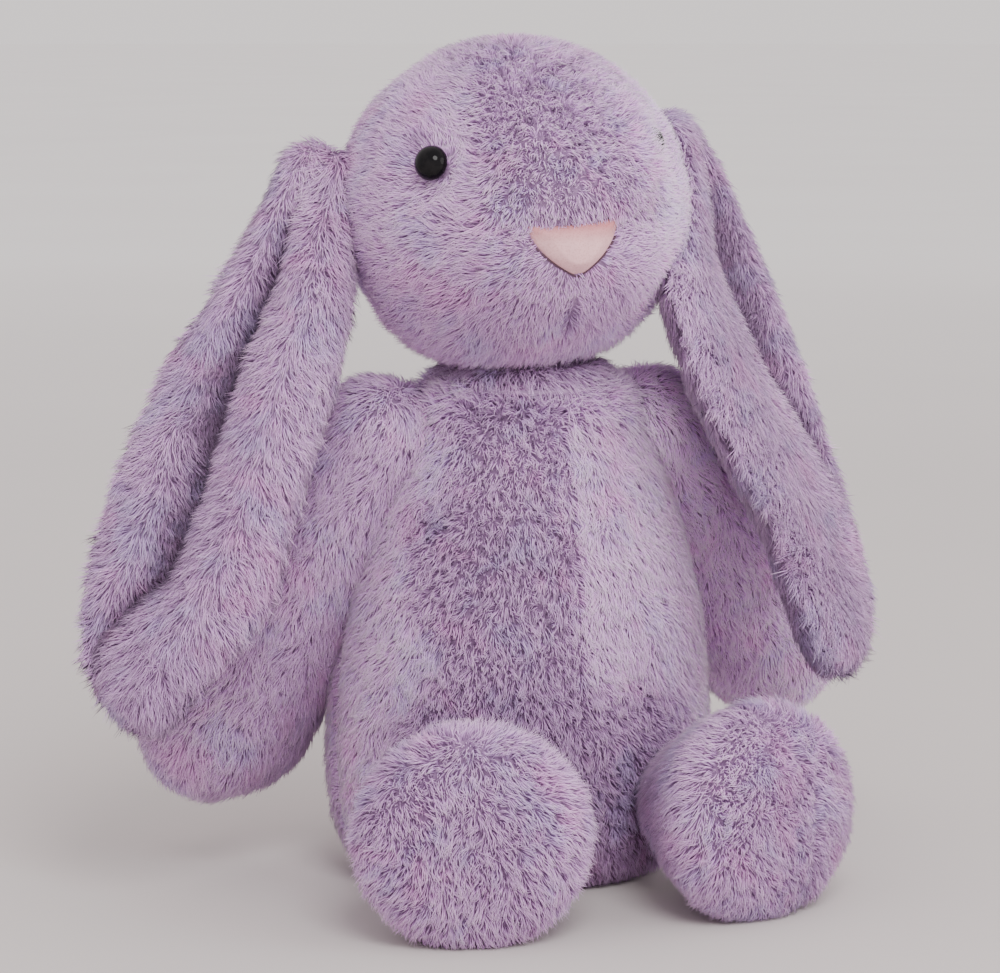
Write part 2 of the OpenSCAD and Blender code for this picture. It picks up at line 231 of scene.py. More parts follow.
def ramped(tree, value, stops):
    """The colour that a ramp gives for a value socket."""
    ramp = colour_ramp(tree, stops)
    tree.links.new(value, ramp.inputs["Fac"])
    return ramp.outputs["Color"]


def texture(tree, kind, output, **inputs):
    """A texture over the object's own space: the socket named output."""
    place = tree.nodes.new("ShaderNodeTexCoord")
    node = add_node(tree, kind, **inputs)
    tree.links.new(place.outputs["Object"], node.inputs["Vector"])
    return node.outputs[output]


def pile_material():
    """Strand colour from the strand's own tint, broken up by fine noise along the fibres."""
    material, tree, shader = principled(
        "pile", Roughness=0.9, Specular_IOR_Level=0.08, Sheen_Weight=0.12, Sheen_Roughness=0.6
    )
    shader.inputs["Sheen Tint"].default_value = (0.95, 0.84, 1.0, 1)
    tint = tree.nodes.new("ShaderNodeAttribute")
    tint.attribute_name = "tint"
    grain = texture(tree, "ShaderNodeTexNoise", "Fac", Scale=900.0, Detail=1.0)
    shade = ramped(tree, grain, [(0.3, (0.88, 0.87, 0.89)), (0.7, (1.0, 1.0, 1.0))])
    tree.links.new(multiplied(tree, tint.outputs["Color"], shade), shader.inputs["Base Color"])
    return material


def backing_material():
    """The knitted backing under the pile, seen only in the partings, coloured dark as painted shade at the
    bottom of the pile.
    """
    material, tree, shader = principled("backing", Roughness=0.95, Specular_IOR_Level=0.1)
    knit = texture(tree, "ShaderNodeTexNoise", "Fac", Scale=700.0, Detail=2.0)
    # Dark purple: painted shade at the bottom of the pile.
    colour = ramped(tree, knit, [(0.3, (0.26, 0.16, 0.29)), (0.7, (0.38, 0.245, 0.41))])
    tree.links.new(colour, shader.inputs["Base Color"])
    return material


def thread_material(name, dark, light):
    """Twisted cotton thread: fine slanting bands along the strand."""
    material, tree, shader = principled(name, Roughness=0.75, Specular_IOR_Level=0.25)
    twist = texture(tree, "ShaderNodeTexWave", "Fac", Scale=900.0, Distortion=1.5)
    tree.links.new(ramped(tree, twist, [(0.2, dark), (0.8, light)]), shader.inputs["Base Color"])
    return material


PILE = pile_material()
BACKING = backing_material()
SEAM_THREAD = thread_material("seam_thread", (0.06, 0.03, 0.05), (0.14, 0.08, 0.11))
FACE_THREAD = thread_material("face_thread", (0.28, 0.17, 0.32), (0.42, 0.28, 0.46))


# ---------- Skins ----------


def relax(skin, rounds):
    """Smooths a skin, after any modifiers that it already has."""
    smoothing = skin.modifiers.new("smoothing", "SMOOTH")
    smoothing.factor = 0.5
    smoothing.iterations = rounds
    apply_modifiers(skin)


def hull_skin(name, nodes, step, more_points=()):
    """A smooth closed skin round nearly convex CAD nodes, and round any more points."""
    bm = bmesh.new()
    for point in [*cad_points(*nodes), *more_points]:
        bm.verts.new(point)
    bmesh.ops.convex_hull(bm, input=bm.verts)
    bmesh.ops.delete(bm, geom=[v for v in bm.verts if not v.link_faces], context="VERTS")
    skin = new_object(name, finished_mesh(name, bm))
    remesh = skin.modifiers.new("remesh", "REMESH")
    remesh.mode = "VOXEL"
    remesh.voxel_size = step
    relax(skin, 8)
    return skin


def project_onto_cad(skin, nodes, centre):
    """Pulls a skin onto the outermost CAD surface along rays from its centre."""
    points, _, _ = mesh_arrays(skin)
    corners, faces, start = [], [], 0
    for node in nodes:
        mesh = frame["nodes"][node].data
        mesh.calc_loop_triangles()
        corners.extend(v.co.copy() for v in mesh.vertices)
        faces.extend(tuple(start + k for k in t.vertices) for t in mesh.loop_triangles)
        start += len(mesh.vertices)
    tree = BVHTree.FromPolygons(corners, faces)
    for k, point in enumerate(points):
        away = Vector(point - centre).normalized()
        hit, _, _, _ = tree.ray_cast(Vector(point) + away * 0.05, -away, 0.09)
        if hit is not None:
            points[k] = hit
    set_points(skin, points)


def ball_points(centre, radius):
    """Points all over a ball, to round off a hull."""
    rng = np.random.default_rng(7)
    return centre + unit(rng.normal(size=(300, 3))) * radius


def blown_up(skin):
    """The corner points of a skin after its cloth was blown up from inside, without weight."""
    cloth = skin.modifiers.new("cloth", "CLOTH")
    cloth.settings.quality = 5
    cloth.settings.mass = 0.3
    cloth.settings.tension_stiffness = cloth.settings.compression_stiffness = 12
    cloth.settings.shear_stiffness = 6
    cloth.settings.bending_stiffness = 0.6
    cloth.settings.use_pressure = True
    cloth.settings.uniform_pressure_force = 4
    cloth.settings.effector_weights.gravity = 0
    cloth.collision_settings.use_collision = False
    cloth.point_cache.frame_start, cloth.point_cache.frame_end = 1, CLOTH_FRAMES
    for number in range(1, CLOTH_FRAMES + 1):
        bpy.context.scene.frame_set(number)
    apply_modifiers(skin)
    bpy.context.scene.frame_set(1)
    points, _, _ = mesh_arrays(skin)
    return points


def inflate(skin, cap, shrink, swell=0.0, seam_gap=None, seam_depth=0.0):
    """Blows the skin up from inside as cloth, to the swell wanted on average, and draws its seams in.

    The cloth starts smaller by shrink, and no point moves more than cap.
    """
    start, normals, _ = mesh_arrays(skin)
    small = start - normals * shrink
    set_points(skin, small)
    moved = blown_up(skin)
    step = moved - small
    length = np.linalg.norm(step, axis=1, keepdims=True)
    points = small + step * np.minimum(1, cap / np.maximum(length, 1e-9))
    points -= (points - start).mean(axis=0)
    points += normals * (swell - ((points - start) * normals).sum(axis=1).mean())
    if seam_gap is not None:
        near = 1 - smooth(np.abs(seam_gap(points)), 0, SEAM_WIDTH)
        points -= normals * (near * seam_depth)[:, None]
    points[:, 2] = np.maximum(points[:, 2], 2 * FLOOR_CLEARANCE)
    set_points(skin, points)


def dress_skin(skin, body, replaced):
    """Material, shading and the bookkeeping of a finished skin."""
    skin.data.materials.clear()
    skin.data.materials.append(BACKING)
    skin.data.polygons.foreach_set("use_smooth", [True] * len(skin.data.polygons))
    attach(skin, body)
    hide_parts(*replaced)


# ---------- Pile ----------


def sample_skin(skin, density, rng, grid=None):
    """Even random places on a skin: points, outward normals, and the grid values there if it has any."""
    points, normals, triangles = mesh_arrays(skin)
    a, b, c = (points[triangles[:, k]] for k in range(3))
    area = np.linalg.norm(np.cross(b - a, c - a), axis=1) / 2
    wanted = density * area / MM**2
    count = np.floor(wanted + rng.random(len(wanted))).astype(int)
    which = np.repeat(np.arange(len(triangles)), count)
    u, v = rng.random((2, len(which)))
    fold = u + v > 1
    u[fold], v[fold] = 1 - u[fold], 1 - v[fold]
    weights = np.stack([1 - u - v, u, v], axis=1)
    corners = triangles[which]
    place = (points[corners] * weights[:, :, None]).sum(axis=1)
    normal = unit((normals[corners] * weights[:, :, None]).sum(axis=1))
    return place, normal, None if grid is None else (grid[corners] * weights[:, :, None]).sum(axis=1)


class Nap:
    """How the pile stands at a set of roots: which way it lies, how steeply, how long, and the painted light
    and shade in its tint.
    """

    def __init__(self, place, normal, grid):
        count = len(place)
        self.grid = grid
        self.place = place
        self.normal = normal
        self.lay = np.tile(DOWN, (count, 1))
        self.rise = np.full(count, 45.0)
        self.length = np.ones(count)
        # light is painted light and shade on the pile, and the speckle amount is how strong its painted
        # shade specks are.
        self.light = np.zeros(count)
        self.shade_speckle = np.full(count, 0.5)
        self.keep = np.ones(count, dtype=bool)

    def part(self, distance, away, width, depth=0.35, turn=2.2, shorter=0.35):
        """A parting: within width of a seam the pile turns away from it and is shorter, and depth sets the
        painted shade in it.
        """
        near = 1 - smooth(np.abs(distance), 0, width)
        side = np.sign(distance)[:, None] * away
        self.lay = self.lay + side * (near * turn)[:, None]
        self.length *= 1 - shorter * near
        # Painted shade in the parting.
        self.light -= depth * near**2


def strand_tints(nap, rng):
    """Root, middle and tip colour of each strand, with soft mottling over the fabric, and the painted light,
    shade and shade specks of the nap.
    """
    grey = smooth(waves(nap.place, 34 * MM, 71) + waves(nap.place, 12 * MM, 72) * 0.7, 0.0, 1.6)
    pink = smooth(waves(nap.place, 30 * MM, 81) + waves(nap.place, 10 * MM, 82) * 0.6, 0.2, 1.7)
    tint = 1 + (GREY_TINT - 1) * grey[:, None] + (PINK_TINT - 1) * pink[:, None]
    cloud = 0.06 * waves(nap.place, 45 * MM, 61) + 0.06 * waves(nap.place, 9 * MM, 91)
    # Painted shade specks, where the upright pile shows its roots.
    shade_specks = smooth(waves(nap.place, 3.6 * MM, 95) + 0.6 * waves(nap.place, 2.2 * MM, 96), 0.1, 1.3)
    # The nap's light adds painted light and shade.
    bright = 1 + cloud + rng.normal(0, 0.08, len(nap.place)) + nap.light * 0.5
    bright += nap.shade_speckle * (0.12 - 0.5 * shade_specks)
    scale = tint * np.clip(bright, 0.3, 1.6)[:, None]
    pale = smooth(rng.random(len(nap.place)), 0.8, 1.0)[:, None] * 0.25
    tip = TIP_COLOUR * (1 - pale) + pale
    # The dark root colour is painted shade deep in the pile.
    return SHADED_ROOT_COLOUR * scale, MIDDLE_COLOUR * scale, np.minimum(tip * scale, 0.97)


def strand_paths(nap, rng):
    """Root, bend and tip of each strand. Neighbouring tips lean together into tufts."""
    count = len(nap.place)
    lay = unit(nap.lay - nap.normal * (nap.lay * nap.normal).sum(axis=1, keepdims=True))
    stray = rng.normal(0, 0.2, (count, 3)) + wave_vectors(nap.place, 26 * MM, 31) * 0.26
    lay = unit(lay + stray - nap.normal * (stray * nap.normal).sum(axis=1, keepdims=True))
    rise = nap.rise + rng.normal(0, 9, count) + 6 * waves(nap.place, 22 * MM, 51)
    rise = np.radians(np.clip(rise, 8, 85))[:, None]
    length = (nap.length * PILE_LENGTH * rng.uniform(0.7, 1.08, count))[:, None]
    root = nap.place - nap.normal * 0.4 * MM
    bend = root + length * (nap.normal * np.sin(rise) * 0.52 + lay * np.cos(rise) * 0.36)
    tip = root + length * (nap.normal * np.sin(rise) * 0.8 + lay * (np.cos(rise) * 0.95 + 0.1))
    gather = wave_vectors(nap.place, TUFT_SIZE, 11) + wave_vectors(nap.place, FINE_TUFT_SIZE, 21)
    gather -= nap.normal * (gather * nap.normal).sum(axis=1, keepdims=True)
    bend += gather * length * 0.07
    tip += gather * length * 0.21
    return root, bend, tip, lay


def prism_faces(count):
    """Corner numbers of closed three-sided strands with rings of three, three and one corner."""
    ring = [(0, 1, 4, 3), (1, 2, 5, 4), (2, 0, 3, 5)]
    quads = [(a, b, c) for a, b, c, _ in ring] + [(a, c, d) for a, _, c, d in ring]
    tips = [(3, 4, 6), (4, 5, 6), (5, 3, 6)]
    one = np.array(quads + tips + [(0, 2, 1)])
    return (np.arange(count)[:, None, None] * 7 + one[None]).reshape(-1, 3)


def tile_strands(count):
    """A cell of the texture for each strand: places of its seven corners."""
    columns = math.ceil(math.sqrt(count))
    cell = 1 / columns
    x = (np.arange(count) % columns)[:, None] * cell
    y = (np.arange(count) // columns)[:, None] * cell
    across = np.array([0.3, 0.5, 0.7, 0.3, 0.5, 0.7, 0.5]) * cell
    up = np.array([0.25, 0.25, 0.25, 0.5, 0.5, 0.5, 0.75]) * cell
    return np.stack([x + across, y + up], axis=2)


def strand_mesh(name, root, bend, tip, side, tints, normal):
    """One mesh of many strands, shaded softly like the skin that they stand on."""
    count = len(root)
    facing = unit(np.cross(tip - root, side))
    corners = np.empty((count, 7, 3))
    outward = np.empty((count, 7, 3))
    for k, angle in enumerate(np.radians([90, 210, 330])):
        ray = facing * math.sin(angle) + side * math.cos(angle)
        corners[:, k] = root + ray * ROOT_RADIUS
        corners[:, 3 + k] = bend + ray * BEND_RADIUS
        outward[:, k] = ray
        outward[:, 3 + k] = ray
    corners[:, 6] = tip
    outward[:, 6] = unit(tip - bend)
    corners[:, :, 2] = np.maximum(corners[:, :, 2], FLOOR_CLEARANCE)
    faces = prism_faces(count)
    mesh = bpy.data.meshes.new(name)
    mesh.vertices.add(count * 7)
    mesh.vertices.foreach_set("co", corners.reshape(-1))
    mesh.loops.add(len(faces) * 3)
    mesh.loops.foreach_set("vertex_index", faces.reshape(-1).astype(np.int32))
    mesh.polygons.add(len(faces))
    mesh.polygons.foreach_set("loop_start", np.arange(0, len(faces) * 3, 3, dtype=np.int32))
    mesh.polygons.foreach_set("use_smooth", np.ones(len(faces), dtype=bool))
    mesh.update(calc_edges=True)
    colours = np.ones((count, 7, 4))
    colours[:, 0:3, :3] = tints[0][:, None, :]
    colours[:, 3:6, :3] = tints[1][:, None, :]
    colours[:, 6, :3] = tints[2]
    layer = mesh.color_attributes.new("tint", "FLOAT_COLOR", "POINT")
    layer.data.foreach_set("color", colours.reshape(-1).astype(np.float32))
    uv = mesh.uv_layers.new(name="OFBake")
    cells = tile_strands(count).reshape(-1, 2)
    uv.data.foreach_set("uv", cells[faces.reshape(-1)].reshape(-1).astype(np.float32))
    soft = unit(normal[:, None, :] + outward * SIDE_SHADING)
    mesh.normals_split_custom_set_from_vertices(soft.reshape(-1, 3))
    return mesh


def grow_pile(skin, name, comb, seed, grid=None):
    """Covers a skin with pile, cut into pieces across its longest side. comb(nap) sets how it stands."""
    rng = np.random.default_rng(seed)
    density = PILE_DENSITY * 1
    nap = Nap(*sample_skin(skin, density, rng, grid))
    comb(nap)
    for field in ("place", "normal", "lay", "rise", "length", "light", "shade_speckle"):
        setattr(nap, field, getattr(nap, field)[nap.keep])
    root, bend, tip, lay = strand_paths(nap, rng)
    tints = strand_tints(nap, rng)
    side = unit(np.cross(lay, nap.normal))
    order = np.argsort(nap.place[:, np.ptp(nap.place, axis=0).argmax()])
    pieces = math.ceil(len(root) / STRANDS_A_PIECE)
    for k, pick in enumerate(np.array_split(order, pieces)):
        mesh = strand_mesh(
            f"{name}_{k + 1}", root[pick], bend[pick], tip[pick], side[pick],
            [tint[pick] for tint in tints], nap.normal[pick],
        )
        mesh.materials.append(PILE)
        piece = new_object(f"{name}_{k + 1}", mesh)
        piece.parent = skin


# ---------- Torso ----------

TORSO_PANELS = ["torso_front_right", "torso_front_left", "torso_back_right", "torso_back_left"]
TORSO_LOW, TORSO_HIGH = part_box("torso_front_right")
TORSO_TOP = TORSO_HIGH[2]
TORSO_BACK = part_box("torso_back_right")[1][1]
TORSO_AXIS_Y = (TORSO_LOW[1] + TORSO_BACK) / 2
# Where the torso's upright seams are, in degrees round from its front.
FRONT_SEAM = 4
OTHER_SEAMS = (90, -90, 180)


def torso_turn(points):
    """How far round the torso points are, in degrees from its front, and how far out."""
    x, y, _ = points.T
    return np.degrees(np.arctan2(x, TORSO_AXIS_Y - y)), np.hypot(x, y - TORSO_AXIS_Y)


def degrees_past(turn, seam):
    """How many degrees a turn is past a seam, from -180 to 180."""
    return (turn - seam + 180) % 360 - 180


def torso_seam_gap(points):
    """Distance to the nearest of the torso's four upright seams."""
    turn, radius = torso_turn(points)
    gaps = [np.abs(degrees_past(turn, seam)) for seam in (FRONT_SEAM, *OTHER_SEAMS)]
    return np.radians(np.min(gaps, axis=0)) * radius


def torso_comb(nap):
    """The pile falls down the torso, under painted light; it stands up, with painted shade, on the right of
    the belly and low down.
    """
    x, _, z = nap.place.T
    turn, radius = torso_turn(nap.place)
    wander = 6 * waves(nap.place, 40 * MM, 151)
    belly = smooth(turn + wander, -66, -46) * (1 - smooth(turn + wander * 0.4, -2, 10))
    low = (1 - smooth(z + wander * 0.001, 0.085, 0.105)) * (1 - smooth(np.abs(turn), 40, 60))
    belly = np.maximum(belly, low)
    nap.rise = 34 + 34 * belly
    nap.length = 0.96 - 0.16 * belly
    # Painted light over the torso, and painted shade where the belly's pile stands up and low down.
    nap.light = 0.62 - 0.9 * belly
    nap.shade_speckle = 0.35 + 0.75 * belly
    angle = np.radians(turn)
    around = np.stack([np.cos(angle), np.sin(angle), np.zeros_like(x)], axis=1)
    nap.lay = np.tile(DOWN, (len(x), 1)) + around * (0.25 * np.sin(angle))[:, None]
    front_gap = np.radians(degrees_past(turn, FRONT_SEAM)) * radius
    nap.part(front_gap, around, SEAM_PARTING, depth=0.0, turn=0.5, shorter=0.1)
    # The side and back seams get painted shade in their partings; the front one gets none.
    for seam in OTHER_SEAMS:
        nap.part(np.radians(degrees_past(turn, seam)) * radius, around, SEAM_PARTING, depth=0.3)
    top = smooth(z, TORSO_TOP - 0.018, TORSO_TOP - 0.002)
    nap.rise += (84 - nap.rise) * top
    nap.length += 0.55 * top
    # Painted shade at the neck opening, between head and torso.
    nap.light -= 0.15 * top
    nap.keep = nap.normal[:, 2] > -0.93


def build_torso():
    """The skin is rounded off at the top by a dome that closes the neck opening."""
    dome = ball_points(np.array([0.0, 0.0, TORSO_TOP - 0.028]), 0.036)
    skin = hull_skin("torso_skin", TORSO_PANELS, 5 * MM, dome)
    inflate(skin, 5 * MM, 2.5 * MM, 1.5 * MM, torso_seam_gap, 1.6 * MM)
    relax(skin, 2)
    dress_skin(skin, "torso", TORSO_PANELS + ["torso_seat", "torso_stuffing", "pellet_bag"])
    grow_pile(skin, "torso_pile", torso_comb, 101)


# ---------- Tail ----------


def tail_comb(nap):
    nap.rise = np.full(len(nap.place), 62.0)


def build_tail():
    skin = hull_skin("tail_skin", ["tail_cover"], 4 * MM)
    inflate(skin, 3 * MM, 1.5 * MM)
    dress_skin(skin, "torso", ["tail_cover", "tail_stuffing"])
    grow_pile(skin, "tail_pile", tail_comb, 111)


# ---------- Head ----------

HEAD_PANELS = ["head_side_right", "head_side_left", "head_gusset"]
HEAD_LOW = np.min([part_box(node)[0] for node in HEAD_PANELS], axis=0)
HEAD_HIGH = np.max([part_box(node)[1] for node in HEAD_PANELS], axis=0)
HEAD_CENTRE = (HEAD_LOW + HEAD_HIGH) / 2
NOSE_POINTS = cad_points("nose_patch")
NOSE_CENTRE = NOSE_POINTS.mean(axis=0)


def eye_frame(name):
    """Where an eye's dome stands on the head, and the way that it faces."""
    points = cad_points(name)
    face = unit(points.mean(axis=0) - HEAD_CENTRE)
    along = (points - HEAD_CENTRE) @ face
    dome = points[along > along.max() - 5 * MM]
    return dome.mean(axis=0), unit(dome.mean(axis=0) - points[along < along.min() + MM].mean(axis=0))


EYES = {side: eye_frame("eye_" + side) for side in SIDES}
# The pile in front of the left eye is brushed back over it, from this way.
BRUSHED_FROM = unit(np.array([-0.34, -0.93, 0.14]))


def head_comb(nap):
    """The pile lies away from the nose and stands up, with painted shade specks, on the bridge and the
    forehead.
    """
    x, y, z = nap.place.T
    from_nose = nap.place - NOSE_CENTRE
    rear = smooth(y, -0.03, 0.05)
    down = np.array([0.0, 0.15, -0.75])
    nap.lay = unit(from_nose) * (1 - 0.4 * rear)[:, None] + down * (0.25 + 0.75 * rear)[:, None]
    front = y < HEAD_CENTRE[1]
    wander = 5 * MM * waves(nap.place, 40 * MM, 152)
    sides = smooth(np.abs(x) + wander, 0.024, 0.05)
    above = smooth(z, NOSE_TOP[2] - 0.004, NOSE_TOP[2] + 0.006)
    forehead = above * (1 - smooth(y, 0.0, 0.05)) * (1 - sides)
    nap.lay += (NOSE_DOWN - nap.lay) * forehead[:, None]
    nap.rise = 36 + 34 * forehead
    nap.length = 0.92 - 0.16 * forehead
    # Painted light over the head, with more painted shade specks on the forehead.
    nap.light = 0.22 + 0.02 * forehead
    nap.shade_speckle = 0.4 + 1.0 * forehead
    # Painted light on the head's left side.
    nap.light += 0.8 * smooth(x, 0.012, 0.042) * front
    under = smooth(-nap.normal[:, 2], 0.55, 0.9)
    nap.rise += 26 * under
    nap.length += 0.3 * under
    nap.length *= 0.55 + 0.45 * smooth(np.linalg.norm(from_nose, axis=1), 0.018, 0.045)
    comb_muzzle(nap, from_nose @ NOSE_ACROSS, from_nose @ NOSE_DOWN, front)
    comb_eyes(nap)
    nap.keep &= ~in_nose(nap.place, 0.9)


def comb_muzzle(nap, across, below, front):
    """The pile parts below the nose, where the lip is, and hangs over the nose's top edge as a fringe."""
    lip = smooth(below, 0.016, 0.02) * (1 - smooth(below, 0.03, 0.042)) * front
    near = (1 - smooth(np.abs(across), 0, 6 * MM)) * lip
    nap.lay += NOSE_ACROSS * (np.sign(across) * near * 1.2)[:, None]
    # Painted shade in the lip's parting.
    nap.light -= 0.45 * near**2
    nap.length *= 1 - 0.3 * near
    lift = -((nap.place - NOSE_TOP) @ NOSE_DOWN)
    fringe = smooth(lift, -0.002, 0.001) * (1 - smooth(lift, 0.003, 0.012)) * front
    fringe *= 1 - smooth(np.abs(across), NOSE_WIDTH * 0.5, NOSE_WIDTH * 0.65)
    nap.lay += NOSE_DOWN * (fringe * 2.6)[:, None]
    nap.rise -= 26 * fringe
    nap.length *= 1 + 0.5 * fringe


def comb_eyes(nap):
    """Short pile rings the eyes, with painted shadow above each and painted light on the inner side, and
    long pile is brushed over the left one.
    """
    for side, (centre, _) in EYES.items():
        from_eye = nap.place - centre
        gap = np.linalg.norm(from_eye, axis=1)
        near = 1 - smooth(gap, 0.008, 0.022)
        inner = smooth(-from_eye[:, 0] * SIDES[side], 0.000, 0.006)
        shadow_above_eye = near * (1 - inner) * smooth(from_eye[:, 2], 0.0, 0.006)
        nap.lay += unit(from_eye) * (near * 1.5)[:, None]
        nap.length *= 1 - 0.45 * near
        # Painted light on the inner side of each eye, and painted shadow above it.
        nap.light += 0.3 * near * inner - 0.9 * shadow_above_eye
        nap.keep &= gap > (0.0052 + 0.0016 * inner if side == "right" else 0.005)
    brushed_from = nap.place - EYES["left"][0]
    ahead = smooth(brushed_from @ BRUSHED_FROM, 0.003, 0.008)
    over = ahead * (1 - smooth(np.linalg.norm(brushed_from, axis=1), 0.018, 0.034))
    nap.lay += (-BRUSHED_FROM - nap.lay) * over[:, None]
    nap.rise += (62 - nap.rise) * over
    nap.length += (1.6 - nap.length) * over


def nose_frame():
    """Middle of the nose's top edge, the way across to the left, the way down it and its two sizes."""
    top = NOSE_POINTS[NOSE_POINTS[:, 2] > NOSE_POINTS[:, 2].max() - 4 * MM]
    tip = NOSE_POINTS[NOSE_POINTS[:, 2] < NOSE_POINTS[:, 2].min() + 2 * MM].mean(axis=0)
    right = NOSE_POINTS[NOSE_POINTS[:, 0].argmin()]
    left = NOSE_POINTS[NOSE_POINTS[:, 0].argmax()]
    middle = (right + left) / 2
    middle[1] = top[:, 1].min()
    across, down = left - right, tip - middle
    return middle, unit(across), unit(down), np.linalg.norm(across), np.linalg.norm(down)


NOSE_TOP, NOSE_ACROSS, NOSE_DOWN, NOSE_WIDTH, NOSE_HEIGHT = nose_frame()
NOSE_AHEAD = unit(np.cross(NOSE_DOWN, NOSE_ACROSS))


def nose_half(down):
    """Half width of the nose at a share of the way down it, from 1 to 0, with full rounded sides."""
    return 1 - down**1.9


def in_nose(place, size):
    """Whether points lie under the velour, for a nose of this share of its size."""
    from_top = place - NOSE_TOP
    down = from_top @ NOSE_DOWN / NOSE_HEIGHT
    across = np.abs(from_top @ NOSE_ACROSS) / (NOSE_WIDTH / 2)
    front = place[:, 1] < NOSE_CENTRE[1] + 0.03
    return front & (down > 0.06) & (down < size) & (across < size * nose_half(np.clip(down, 0, 1)))


def shape_face(skin):
    """Draws the eyes in by their thread and brings out the bridge and the muzzle."""
    points, normals, _ = mesh_arrays(skin)
    for centre, _ in EYES.values():
        near = 1 - smooth(np.linalg.norm(points - centre, axis=1), 0.0, 0.022)
        points -= normals * (near * 3 * MM)[:, None]
    front = 1 - smooth(points[:, 1], -0.04, 0.0)
    bridge = (1 - smooth(np.abs(points[:, 0]), 0.020, 0.036)) * front
    bridge *= smooth(points[:, 2], NOSE_TOP[2] - 0.002, NOSE_TOP[2] + 0.014)
    bridge *= 1 - smooth(points[:, 2], HEAD_HIGH[2] - 0.045, HEAD_HIGH[2] - 0.01)
    muzzle = 1 - smooth(np.linalg.norm(points - NOSE_CENTRE - NOSE_DOWN * 12 * MM, axis=1), 0.012, 0.045)
    points += normals * (bridge * 5.5 * MM + muzzle * 2.5 * MM)[:, None]
    set_points(skin, points)


def build_head():
    """The head's skin is laid onto the CAD along rays from its middle, and its face is shaped."""
    skin = hull_skin("head_skin", HEAD_PANELS, 5 * MM)
    project_onto_cad(skin, HEAD_PANELS, HEAD_CENTRE)
    inflate(skin, 5 * MM, 2.5 * MM, 1.5 * MM)
    relax(skin, 4)
    shape_face(skin)
    relax(skin, 2)
    dress_skin(skin, "head", HEAD_PANELS + ["head_stuffing", "eye_washer_right", "eye_washer_left"])
    grow_pile(skin, "head_pile", head_comb, 201)
    return skin


# ---------- Neck ----------


def neck_comb(nap):
    nap.rise = np.full(len(nap.place), 40.0)
    # Painted shade between head and torso.
    nap.light = np.full(len(nap.place), -0.25)
    nap.keep = nap.place[:, 2] < NECK[2] + 4 * MM


def build_neck():
    """The filled neck bulges a little out of the gap between head and torso."""
    bm = bmesh.new()
    bmesh.ops.create_uvsphere(bm, u_segments=48, v_segments=24, radius=1.0)
    mesh = finished_mesh("neck_skin", bm)
    place = Matrix.Translation(Vector(NECK) - Vector((0, 0, 0.004)))
    mesh.transform(place @ Matrix.Diagonal((0.038, 0.034, 0.014, 1)))
    skin = new_object("neck_skin", mesh)
    inflate(skin, 2 * MM, 1 * MM)
    dress_skin(skin, "neck", ["neck_stuffing"])
    grow_pile(skin, "neck_pile", neck_comb, 121)


# ---------- Ears ----------

# The ear's outline: shares of its length, and how wide it is there as a share of its half width.
EAR_SHARES = [0, 0.08, 0.2, 0.36, 0.52, 0.68, 0.82, 0.91, 0.965, 1.0]
EAR_WIDTHS = [0.42, 0.52, 0.72, 0.90, 1.0, 1.03, 1.01, 0.92, 0.70, 0.3]
# Where the fold runs, as shares down each ear and places across it, from -1 at the outer edge to 1.
FOLD_SHARES = {
    "right": [0.0, 0.15, 0.35, 0.6, 0.75, 0.88, 1.0],
    "left": [0.0, 0.1, 0.25, 0.45, 0.6, 0.75, 1.0],
}
FOLD_PLACES = {
    "right": [-0.1, -0.15, -0.15, 0.0, -0.12, -0.8, -0.97],
    "left": [-0.1, -0.15, -0.2, -0.4, -0.7, -0.92, -0.98],
}
# How far the inner lobe of each ear spreads over the shoulder.
INNER_BULGE = {"right": 0.0, "left": 28 * MM}
# The share by which the inner side of each tip is narrower.
TIP_TRIM = {"right": 0.7, "left": 0.1}
# How high the inner and the outer lobe stand above the fold, in millimetres.
LOBE_RELIEF = {"right": (22.0, 15.0), "left": (13.0, 18.0)}
# How thick the ear is where it is sewn on, in millimetres, and the share of its length where it is open.
EAR_ROOT_THICK = 11
EAR_OPENS = 0.2


